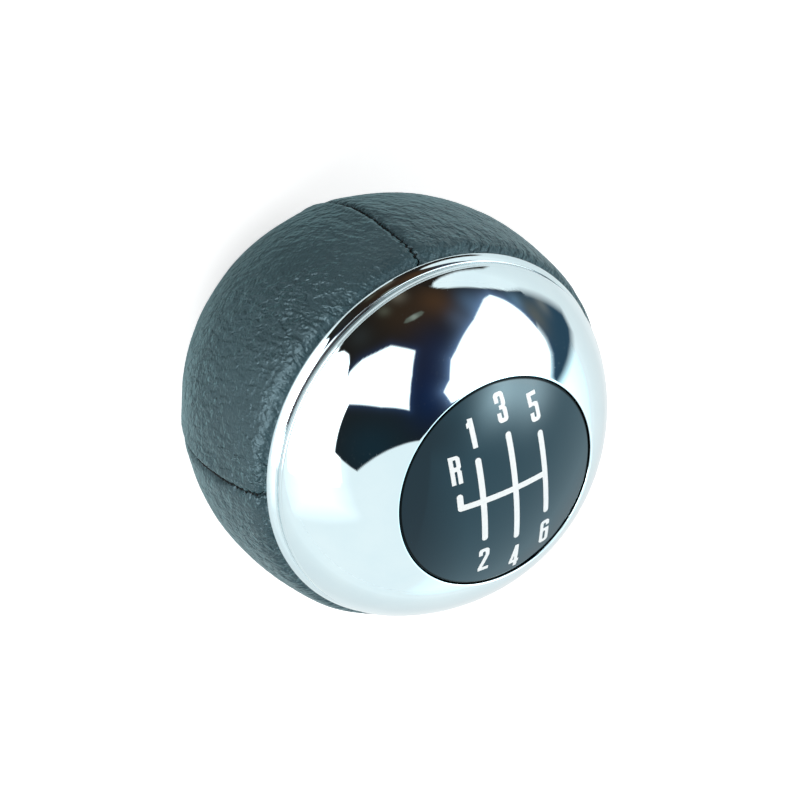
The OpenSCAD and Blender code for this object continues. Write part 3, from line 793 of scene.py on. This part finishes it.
def tube(path, radius, sides, verts, faces):
    """Adds a closed tube along a path of points."""
    path = [np.asarray(p, float) for p in path]
    start = len(verts)
    for k, p in enumerate(path):
        ahead = path[min(k + 1, len(path) - 1)] - path[max(k - 1, 0)]
        ahead = ahead / np.linalg.norm(ahead)
        side = np.cross(ahead, np.array([0.31, 0.22, 0.93]))
        side = side / np.linalg.norm(side)
        other = np.cross(ahead, side)
        shrink = 0.5 if k in (0, len(path) - 1) else 1.0
        for i in range(sides):
            a = TAU * i / sides
            q = p + radius * shrink * (side * math.cos(a) + other * math.sin(a))
            verts.append(tuple(q * MM))
    for k in range(len(path) - 1):
        for i in range(sides):
            j = (i + 1) % sides
            low, high = start + k * sides, start + (k + 1) * sides
            faces.append((low + i, low + j, high + j, high + i))
    faces.append(tuple(start + i for i in reversed(range(sides))))
    faces.append(tuple(start + (len(path) - 1) * sides + i for i in range(sides)))


def on_seam(turn, s, across, depth):
    """Point across a seam, depth mm under the leather's outline."""
    s = min(max(s, 0.0), PATH_L)
    r = np.interp(s, PATH_S, PATH_P[:, 0])
    z = np.interp(s, PATH_S, PATH_P[:, 1])
    n = np.array([np.interp(s, PATH_S, PATH_N[:, 0]), np.interp(s, PATH_S, PATH_N[:, 1])])
    rr, zz = r - n[0] * depth, z - n[1] * depth
    a = math.radians(turn) + seam_sway(turn, s) / r
    return np.array([rr * math.cos(a) - across * math.sin(a), rr * math.sin(a) + across * math.cos(a), zz])


def seam_mesh(name, turn):
    verts, faces = [], []
    length = PATH_L - 2 * SEAM_END
    lay = [on_seam(turn, SEAM_END + length * i / LAY_STEPS, 0.0, LAY_DEPTH) for i in range(LAY_STEPS + 1)]
    tube(lay, LAY_R, 8, verts, faces)
    for i in range(int(length / STITCH_PITCH)):
        s = SEAM_END + STITCH_PITCH * (i + 0.5)
        sway = 0.12 * math.sin(i * 2.4)
        path = []
        for t in np.linspace(-1, 1, 7):
            path.append(on_seam(turn, s + 0.26 * t, 0.4 * t + 0.1 * sway, 0.2 + 0.42 * t * t))
        tube(path, STITCH_R, 6, verts, faces)
    return mesh_object(name, verts, faces)


for name, turn in (("right", 0), ("front", 90), ("left", 180), ("rear", 270)):
    stitches = seam_mesh("stitches_" + name, turn)
    piece(stitches, "seam_thread", "seam_thread_" + name)


# ---------------------------------------------------------------- collar
COLLAR_ROUND = 1.4
COLLAR_BORE = 8.7
SLEEVE_R = 9.75
SLEEVE_H = 4.5


def collar_profile():
    rim_c = np.array([FOOT_R - COLLAR_ROUND, COLLAR_ROUND])
    out = [np.array([COLLAR_BORE, 0.25]), np.array([COLLAR_BORE + 0.25, 0.0])]
    out += arc(rim_c, COLLAR_ROUND, -90, 0, 16)
    out += [np.array([FOOT_R, COLLAR_H - 0.12]), np.array([FOOT_R - 0.12, COLLAR_H])]
    out += [np.array([SLEEVE_R, COLLAR_H]), np.array([SLEEVE_R, COLLAR_H + SLEEVE_H])]
    out += [np.array([COLLAR_BORE, COLLAR_H + SLEEVE_H])]
    return out


collar = turned("foot_collar", collar_profile(), 160)
piece(collar, "collar_plastic", "base_collar")

# ---------------------------------------------------------------- what the camera sees
CAMERA_F = 2506.0  # focal length in pixels of the photo
FRAME_PX = 800
SENSOR = 36.0
TILT = math.radians(41.70)
SWING = math.radians(37.12)
ROLL = math.radians(51.66)
BALL_IN_CAMERA = np.array([-1.01, 0.21, 300.0])

n_axis = np.array([math.sin(TILT) * math.cos(SWING), math.sin(TILT) * math.sin(SWING), -math.cos(TILT)])
a_axis = np.cross(n_axis, [0, 0, 1.0])
a_axis /= np.linalg.norm(a_axis)
b_axis = np.cross(n_axis, a_axis)
up_axis = math.cos(ROLL) * a_axis + math.sin(ROLL) * b_axis
right_axis = math.sin(ROLL) * a_axis - math.cos(ROLL) * b_axis
to_knob = np.stack([right_axis, up_axis, n_axis])
camera_mm = np.array([0, 0, BALL_Z]) - to_knob @ BALL_IN_CAMERA


def mirrored(pixel):
    """Direction (azimuth, elevation) in degrees that the dome mirrors at a pixel of the photo."""
    x, y = pixel
    ray = to_knob @ np.array([(x - FRAME_PX / 2) / CAMERA_F, (y - FRAME_PX / 2) / CAMERA_F, 1.0])
    ray /= np.linalg.norm(ray)
    start = camera_mm - [0, 0, dome_c[1]]
    along = ray @ start
    hit = start - (along + math.sqrt(along**2 - start @ start + dome_r**2)) * ray
    normal = hit / dome_r
    way = ray - 2 * (ray @ normal) * normal
    azimuth = math.degrees(math.atan2(way[1], way[0]))
    return (azimuth + 90) % 360 - 90, math.degrees(math.asin(way[2]))


# ---------------------------------------------------------------- floor and lights
def edge_distance(corners, az, el):
    """Distance in degrees to the outline of a shape drawn in directions, positive inside."""
    scale = np.cos(np.radians(el))
    best = np.full(az.shape, 1e9)
    inside = np.zeros(az.shape, bool)
    for (a0, e0), (a1, e1) in zip(corners, corners[1:] + corners[:1]):
        px, py, dx, dy = (az - a0) * scale, el - e0, (a1 - a0) * scale, e1 - e0
        t = np.clip((px * dx + py * dy) / np.maximum(dx * dx + dy * dy, 1e-9), 0, 1)
        best = np.minimum(best, np.hypot(px - t * dx, py - t * dy))
        if e0 != e1:
            crosses = (el > min(e0, e1)) & (el <= max(e0, e1))
            inside ^= crosses & (az < a0 + (el - e0) * (a1 - a0) / (e1 - e0))
    return np.where(inside, best, -best)


def glowing(az, el, base, glows):
    """Colour of a card: a base colour and soft spots of (azimuth, elevation, width, colour)."""
    color = np.tile(np.array(base, float), (*az.shape, 1))
    for a, e, width, tint in glows:
        d = np.hypot((az - a) * np.cos(np.radians(el)), el - e) / width
        color += np.exp(-d * d)[..., None] * np.array(tint)
    return color


def card(name, corners, color, strength=1.0, soft=0.7, glows=(), step=0.75, distance=0.6, fringe=()):
    """A card that shows only in reflections, with a soft edge. Its corners are directions (azimuth, elevation) in
    degrees, as the camera sees them mirrored in the dome."""
    lo, hi = np.min(corners, axis=0) - step - soft / 2, np.max(corners, axis=0) + step + soft / 2
    az, el = np.meshgrid(np.arange(lo[0], hi[0] + step, step), np.arange(lo[1], hi[1] + step, step), indexing="ij")
    fade = np.clip(edge_distance(corners, az, el) / soft + 0.5, 0, 1)
    paint = glowing(az, el, color, glows)
    for shape, tint, width in fringe:
        near = np.exp(-np.abs(edge_distance(shape, az, el)) / width)
        paint += near[..., None] * np.array(tint)
    ar, er = np.radians(az), np.radians(el)
    way = np.stack([np.cos(er) * np.cos(ar), np.cos(er) * np.sin(ar), np.sin(er)], -1)
    half_way = way + TO_CAMERA
    half_way /= np.maximum(np.linalg.norm(half_way, axis=-1, keepdims=True), 0.2)
    verts = np.array([0, 0, dome_c[1] * MM]) + dome_r * MM * half_way + distance * way
    cols = az.shape[1]
    shown = (fade[:-1, :-1] + fade[1:, :-1] + fade[:-1, 1:] + fade[1:, 1:]) > 0
    faces = [
        (i * cols + j, (i + 1) * cols + j, (i + 1) * cols + j + 1, i * cols + j + 1) for i, j in zip(*np.nonzero(shown))
    ]
    obj = mesh_object(name, verts.reshape(-1, 3), faces)
    data = obj.data
    layer = data.color_attributes.new("paint", "FLOAT_COLOR", "POINT")
    rgba = np.concatenate([paint, fade[..., None]], -1).reshape(-1, 4)
    layer.data.foreach_set("color", rgba.astype(np.float32).ravel())
    m = Nodes(name)
    m.tree.nodes.remove(m.shader)
    painted = m.add("ShaderNodeAttribute", attribute_name="paint")
    glow = m.add("ShaderNodeEmission", Strength=strength)
    m.link(painted.outputs["Color"], glow.inputs["Color"])
    mix = m.add("ShaderNodeMixShader")
    m.link(painted.outputs["Alpha"], mix.inputs[0])
    m.link(m.add("ShaderNodeBsdfTransparent").outputs[0], mix.inputs[1])
    m.link(glow.outputs[0], mix.inputs[2])
    m.link(mix.outputs[0], m.tree.nodes["Material Output"].inputs["Surface"])
    data.materials.append(m.mat)
    obj.visible_camera = False
    obj.visible_diffuse = False
    obj.visible_shadow = False
    obj.visible_transmission = False
    obj.visible_volume_scatter = False


CAMERA_AZ, CAMERA_EL = 128.12, 48.43
TO_CAMERA = np.array([*(math.cos(math.radians(CAMERA_EL)) * unit(CAMERA_AZ)), math.sin(math.radians(CAMERA_EL))])
# The cards' outlines, as pixels of the photo where the dome mirrors them. A scratch script worked these whole pixels
# out from directions set before. 56 of the 96 lie within 1.5 pixels of a place read by eye, the other 40 don't.
# Where the disc or another card hides an outline, it runs on under it.
BOX_RIGHT_PX = [
    (490, 295), (508, 302), (522, 312), (536, 327), (546, 341), (550, 352), (550, 378), (535, 420), (506, 420),
    (475, 412), (451, 402), (444, 392), (450, 380), (451, 360), (456, 351), (464, 335), (474, 320), (484, 299),
]
BOX_LEFT_PX = [
    (346, 382), (350, 372), (362, 360), (376, 353), (391, 346), (402, 348), (415, 351), (412, 374), (410, 392),
    (409, 410), (381, 407), (348, 404),
]
ROOM_PX = [
    (334, 358), (343, 342), (357, 320), (381, 302), (402, 289), (410, 284), (421, 281), (426, 283), (430, 286),
    (433, 287), (438, 288), (448, 288), (480, 288), (507, 291), (521, 291), (531, 304), (536, 371), (501, 412),
    (471, 427), (454, 431), (439, 439), (419, 441), (399, 446), (357, 471), (334, 452), (348, 404), (346, 382),
    (349, 362), (349, 354), (344, 351), (339, 353),
]
ROOM_LOW_PX = [
    (402, 290), (414, 285), (427, 287), (432, 287), (433, 283), (440, 278), (456, 272), (470, 270), (483, 269),
    (489, 266), (449, 259), (422, 269), (395, 282),
]
ROOM_SIDE_PX = [
    (505, 295), (521, 291), (540, 297), (561, 310), (571, 331), (572, 347), (566, 371), (556, 389), (551, 377),
    (551, 353), (546, 339), (536, 325), (521, 310), (508, 300),
]
LAMP_PX = [(404, 323), (407, 323), (414, 320), (422, 315), (424, 312), (421, 311), (414, 314), (406, 319)]
# soft spots in the cards: pixel of the photo, width in degrees, colour that is added. A scratch script worked the
# pixels out from directions chosen by hand.
ROOM_GLOWS_PX = [
    ((403, 316), 13, (0.022, 0.008, 0.001)), ((436, 301), 9, (0.05, 0.018, 0.005)), ((397, 296), 4, (0.1, 0.08, 0.06)),
    ((384, 311), 3, (0.05, 0.05, 0.036)), ((360, 337), 6, (0.01, 0.012, 0.013)), ((471, 303), 7, (0.05, 0.08, 0.13)),
    ((458, 319), 6, (0.035, 0.045, 0.07)), ((441, 358), 16, (-0.002, 0.006, 0.034)),
    ((431, 401), 14, (-0.008, 0.002, 0.034)), ((373, 451), 22, (-0.005, 0.012, 0.024)),
    ((517, 302), 6, (0.08, 0.11, 0.14)),
]
SIDE_GLOWS_PX = [
    ((535, 316), 7, (0.085, 0.05, 0.01)), ((515, 301), 4, (0.08, 0.11, 0.15)), ((541, 303), 4, (0.12, 0.09, 0.06)),
]
LAMP_GLOWS_PX = [((414, 317), 2.2, (0.14, 0.14, 0.12))]
BOX_RIGHT, BOX_LEFT, ROOM, ROOM_LOW, ROOM_SIDE, LAMP = (
    [mirrored(pixel) for pixel in outline]
    for outline in (BOX_RIGHT_PX, BOX_LEFT_PX, ROOM_PX, ROOM_LOW_PX, ROOM_SIDE_PX, LAMP_PX)
)
ROOM_GLOWS, SIDE_GLOWS, LAMP_GLOWS = (
    [(*mirrored(pixel), width, tint) for pixel, width, tint in spots]
    for spots in (ROOM_GLOWS_PX, SIDE_GLOWS_PX, LAMP_GLOWS_PX)
)
# walls meant for the leather, the rim and the disc, as given directions
LEFT_WALL = [(122, 2), (208, 0), (210, 26), (122, 30)]
LEFT_GLOW = [(126, 5), (187, 3), (189, 24), (126, 27)]
RIGHT_FILL = [(-86, 4), (-6, 4), (22, 40), (22, 80), (-86, 76)]
DISC_GLOWS = [(6, 60, 10, (9.8, 9.2, 8.8)), (-6, 46, 10, (6.6, 6.4, 6.2))]
KITE_EDGE = (BOX_RIGHT, (0.16, 0.23, 0.38), 2.6)
LEFT_EDGE = (BOX_LEFT, (0.02, 0.04, 0.1), 1.6)
SIDE_EDGE = (BOX_RIGHT, (0.02, 0.05, 0.14), 1.6)
card("left_wall", LEFT_WALL, (1, 1, 1), 1.45, soft=13.0, step=1.5, distance=0.68)
card("left_glow", LEFT_GLOW, (1, 1, 1), 14.0, soft=8.0, step=1.5, distance=0.66)
card("right_fill", RIGHT_FILL, (1.35, 1.76, 1.9), soft=18.0, step=2.0, distance=0.68, glows=DISC_GLOWS)
card("room_side", ROOM_SIDE, (0.03, 0.065, 0.1), soft=4.5, glows=SIDE_GLOWS, distance=0.14, fringe=[SIDE_EDGE])
card("room_low", ROOM_LOW, (0.022, 0.015, 0.012), soft=1.0, distance=0.12)
card("room", ROOM, (0.016, 0.013, 0.011), glows=ROOM_GLOWS, distance=0.6, fringe=[KITE_EDGE, LEFT_EDGE])
card("box_right", BOX_RIGHT, (2, 2, 2), soft=1.0, distance=0.57, glows=DISC_GLOWS)
card("box_left", BOX_LEFT, (1, 1, 1), 2.0, soft=1.0, distance=0.57)
card("lamp", LAMP, (0.12, 0.12, 0.095), glows=LAMP_GLOWS, soft=0.8, step=0.4, distance=0.57)

FLOOR_HALF = 6.0
FLOOR_DROP = 0.0001  # just under the collar
floor_mesh = bpy.data.meshes.new("floor")
corners = [(FLOOR_HALF * x, FLOOR_HALF * y, 0) for x, y in ((-1, -1), (1, -1), (1, 1), (-1, 1))]
floor_mesh.from_pydata(corners, [], [(0, 1, 2, 3)])
floor = link(bpy.data.objects.new("floor", floor_mesh))
floor.location.z = -FLOOR_DROP
WORLD_LEVEL = 0.4
# name, azimuth, elevation, spread and strength
SUNS = (("key", 198, 46, 40, 1.7), ("fill", 25, 35, 50, 1.05))
FLOOR_SHARE = 0.9
WHITER = 0.46
fm = Nodes("floor_white")
on_floor = fm.add("ShaderNodeTexCoord").outputs["Object"]
paper = fm.ramp(noise_of(fm, on_floor, 40.0, 2.0), [(0.3, (0.895, 0.9, 0.9)), (0.7, (0.905, 0.905, 0.905))])


def shade_round(center, stops):
    """A darker patch round a point of the floor, with levels at distances in metres."""
    away = fm.add("ShaderNodeVectorMath", operation="DISTANCE")
    fm.link(on_floor, away.inputs[0])
    away.inputs[1].default_value = center
    return fm.ramp(away.outputs["Value"], [(at, (level, level, level)) for at, level in stops])


# only reflections show these: round the knob, and round a spot on its front side
shade = fm.math(
    "MULTIPLY",
    shade_round((0, 0, 0), [(0.05, 0.97), (0.1, 0.86), (0.4, 1.0)]),
    shade_round((-0.012, 0.036, 0), [(0.01, 0.12), (0.03, 0.5), (0.052, 1.0)]),
)
mirrored = fm.add("ShaderNodeMix", data_type="RGBA", blend_type="MULTIPLY")
lit = FLOOR_SHARE * (WORLD_LEVEL + sum(s[4] * math.sin(math.radians(s[2])) for s in SUNS) / math.pi)
fm.shader.inputs["Emission Color"].default_value = (1, 1, 1, 1)
floor_ray = fm.add("ShaderNodeLightPath").outputs
fm.link(floor_ray["Is Glossy Ray"], mirrored.inputs["Factor"])
fm.link(paper, mirrored.inputs["A"])
fm.link(shade, mirrored.inputs["B"])
fm.link(mirrored.outputs["Result"], fm.shader.inputs["Base Color"])
seen_white = fm.math("MULTIPLY", floor_ray["Is Camera Ray"], 1.0 - lit + WHITER)
far_white = fm.math("MULTIPLY", fm.math("MULTIPLY", floor_ray["Is Glossy Ray"], 1.0 - lit), shade)
fm.link(fm.math("ADD", seen_white, far_white), fm.shader.inputs["Emission Strength"])
fm.set(Roughness=0.9, Specular_IOR_Level=0.0)
floor_mesh.materials.append(fm.mat)

world = bpy.data.worlds.new("studio")
bpy.context.scene.world = world
world.use_nodes = True
tree = world.node_tree
back = tree.nodes["Background"]
back.inputs["Color"].default_value = (1, 1, 1, 1)
path = tree.nodes.new("ShaderNodeLightPath")
seen = path.outputs["Is Camera Ray"]
for ray in ("Is Glossy Ray", "Is Transmission Ray"):
    either = tree.nodes.new("ShaderNodeMath")
    either.operation = "MAXIMUM"
    tree.links.new(seen, either.inputs[0])
    tree.links.new(path.outputs[ray], either.inputs[1])
    seen = either.outputs[0]
level = tree.nodes.new("ShaderNodeMapRange")
level.inputs["To Min"].default_value = WORLD_LEVEL
level.inputs["To Max"].default_value = 1.0
tree.links.new(seen, level.inputs["Value"])
tree.links.new(level.outputs[0], back.inputs["Strength"])


def sun(name, azimuth, elevation, spread, strength):
    """A wide, soft light from far away."""
    data = bpy.data.lights.new(name, "SUN")
    data.angle = math.radians(spread)
    data.energy = strength
    obj = link(bpy.data.objects.new(name, data))
    a, e = math.radians(azimuth), math.radians(elevation)
    way = Vector((math.cos(e) * math.cos(a), math.cos(e) * math.sin(a), math.sin(e)))
    obj.location = way
    obj.rotation_euler = way.to_track_quat("Z", "Y").to_euler()
    obj.visible_glossy = False


for values in SUNS:
    sun(*values)

# ---------------------------------------------------------------- camera
camera_data = bpy.data.cameras.new("camera")
camera = link(bpy.data.objects.new("camera", camera_data))
camera_data.sensor_width = SENSOR
camera_data.sensor_fit = "HORIZONTAL"
camera_data.lens = CAMERA_F * SENSOR / FRAME_PX
camera_data.clip_start = 0.01
axes = [to_knob @ np.array(v, float) for v in ((1, 0, 0), (0, -1, 0), (0, 0, -1))]
camera.matrix_world = Matrix(
    [[axes[0][i], axes[1][i], axes[2][i], camera_mm[i] * MM] for i in range(3)] + [[0, 0, 0, 1]]
)
bpy.context.scene.camera = camera
bpy.context.scene.view_settings.view_transform = "Standard"
